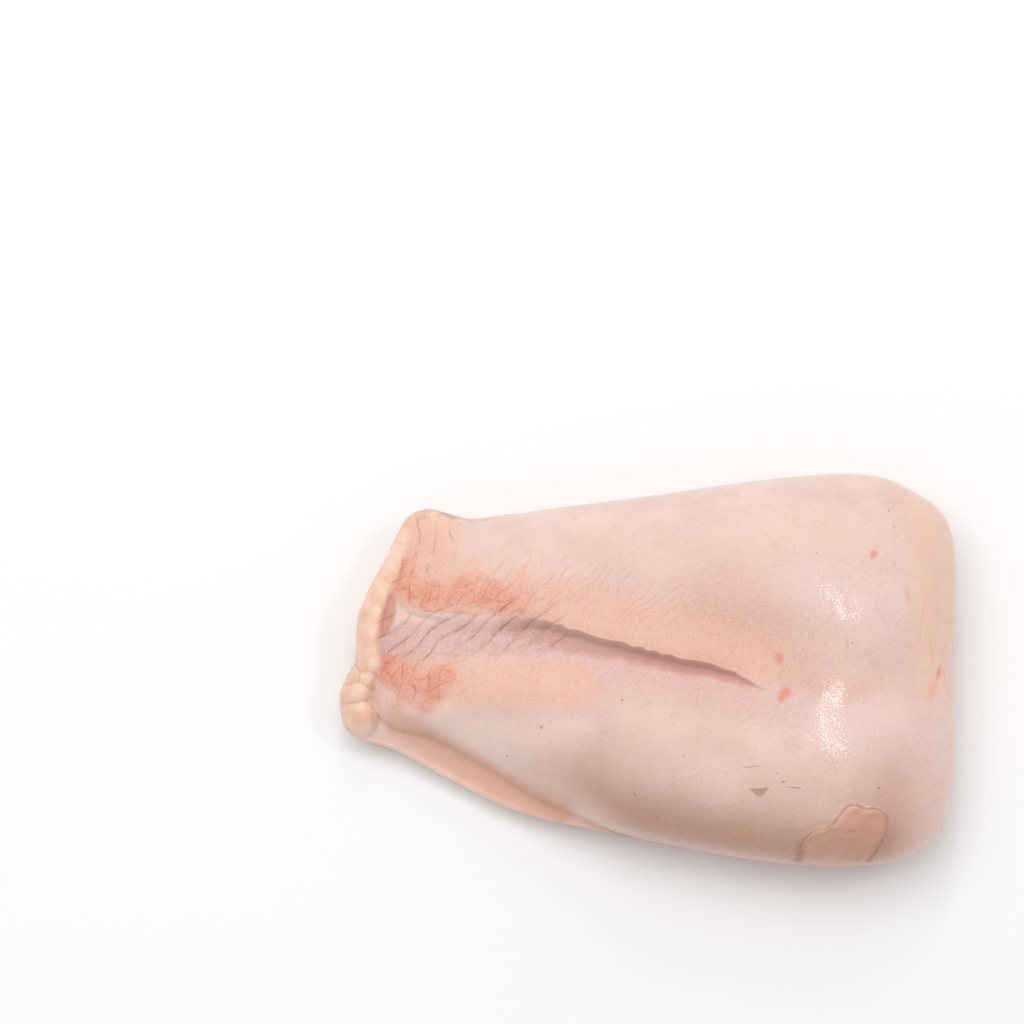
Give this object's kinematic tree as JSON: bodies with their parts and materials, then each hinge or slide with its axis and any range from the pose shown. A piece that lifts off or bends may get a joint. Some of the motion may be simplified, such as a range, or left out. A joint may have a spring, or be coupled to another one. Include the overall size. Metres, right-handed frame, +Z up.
{
  "type": "raw skin-on chicken breast",
  "caption": "Whole raw chicken breast with skin, two lobes and a slanting groove, broad at one end and narrow at the other, lying on its flat cut side.",
  "frame": {"origin": "middle of the flat underside, on the surface that the breast lies on", "axes": "+X towards the broad end, +Y towards the upper lobe, +Z up"},
  "size_m": [0.2101, 0.134, 0.0574],
  "materials": {
    "skin": "moist raw skin, satin with wet highlights",
    "fat": "moist cream-coloured fat",
    "flesh": "moist raw meat"
  },
  "bodies": {
    "root": {"chicken_breast": "skin"}
  },
  "joints": []
}
